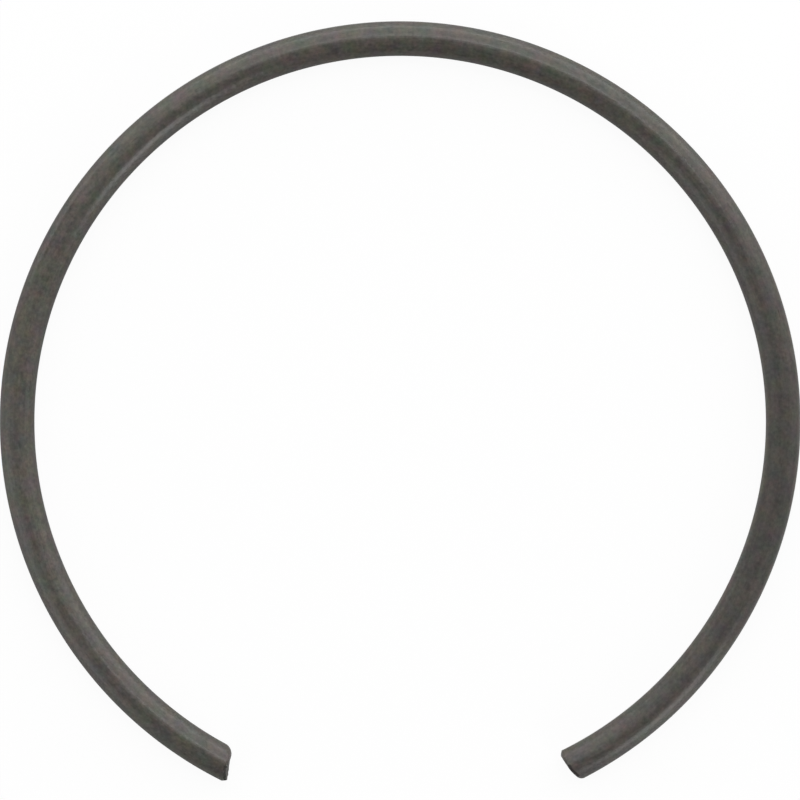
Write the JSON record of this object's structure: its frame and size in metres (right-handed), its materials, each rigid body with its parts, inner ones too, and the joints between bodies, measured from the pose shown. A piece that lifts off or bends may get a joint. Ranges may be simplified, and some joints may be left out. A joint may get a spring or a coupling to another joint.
{
  "type": "round-wire circlip retaining ring",
  "caption": "Open ring of round spring wire with sheared ends, sprung into a groove inside a bore to hold a bearing or shaft in place.",
  "frame": {"origin": "centre of the ring, on its axis and at the middle of the wire's thickness", "axes": "+Z along the ring's axis, up from what it lies on; -Y points at the middle of the gap; +X across the ring"},
  "size_m": [0.074, 0.0702, 0.0032],
  "materials": {
    "spring_wire": "spring steel wire, phosphated and oiled, dark warm grey and semi-matt"
  },
  "bodies": {
    "root": {"wire_ring": "spring_wire"}
  },
  "joints": []
}
